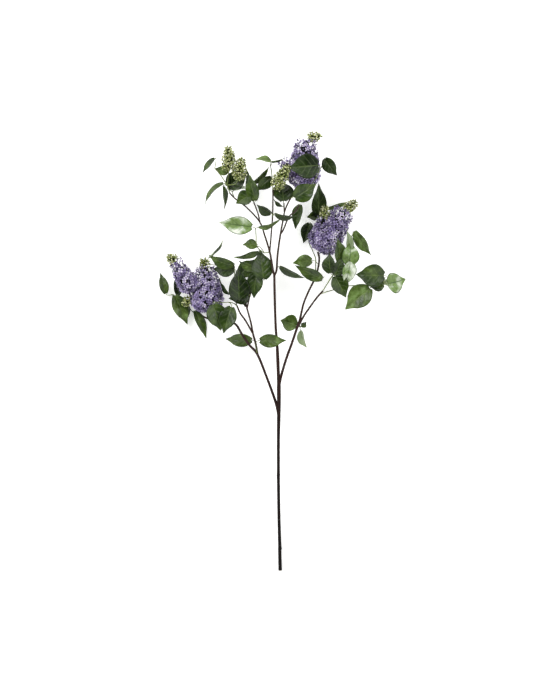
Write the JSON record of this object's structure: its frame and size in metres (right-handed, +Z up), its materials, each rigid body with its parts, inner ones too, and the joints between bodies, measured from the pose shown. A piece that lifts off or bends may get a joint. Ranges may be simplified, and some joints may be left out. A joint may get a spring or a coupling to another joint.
{
  "type": "cut lilac stem",
  "caption": "Cut stem of lilac lying on a surface: forked woody stem with purple flower heads, green bud tips and heart-shaped leaves.",
  "frame": {"origin": "middle of the outline of the lying stem, on the surface that it lies on", "axes": "+Y along the stem from its cut foot to its top, +Z up from the surface, +X to the right as seen from above with the top away from the viewer"},
  "size_m": [0.5435, 0.9657, 0.135],
  "materials": {
    "bark": "matte",
    "leaf": "satin",
    "petal": "matte",
    "bud": "matte"
  },
  "bodies": {
    "root": {"woody_stem": "bark", "left_end_shoot": "leaf", "left_low_shoot": "leaf", "round_leaf_shoot": "leaf", "low_left_leaf": "leaf", "low_front_leaf": "leaf", "right_fork_shoot": "leaf", "left_crown_shoot": "leaf", "split_shoot": "leaf", "centre_left_shoot": "leaf", "top_left_shoot": "leaf", "top_left_inner_shoot": "leaf", "inner_crown_shoot": "leaf", "bud_shoot": "leaf", "centre_pair_shoot": "leaf", "top_stem_leaf": "leaf", "top_front_shoot": "leaf", "top_low_leaf": "leaf", "top_back_shoot": "leaf", "top_right_leaf": "leaf", "right_branch_leaf_high": "leaf", "right_branch_leaf_low": "leaf", "centre_low_leaf": "leaf", "right_back_shoot": "leaf", "right_inner_shoot": "leaf", "right_outer_shoot": "leaf", "left_head": "petal", "top_head": "petal", "right_head": "petal", "left_end_bud_tip": "bud", "left_head_bud_tip": "bud", "top_head_bud_tip": "bud", "right_head_bud_tip": "bud", "right_side_bud_tip": "bud", "top_left_bud_spike": "bud", "top_left_bud_spike_small": "bud", "centre_bud_spike": "bud", "left_low_bud_spike": "bud"}
  },
  "joints": []
}
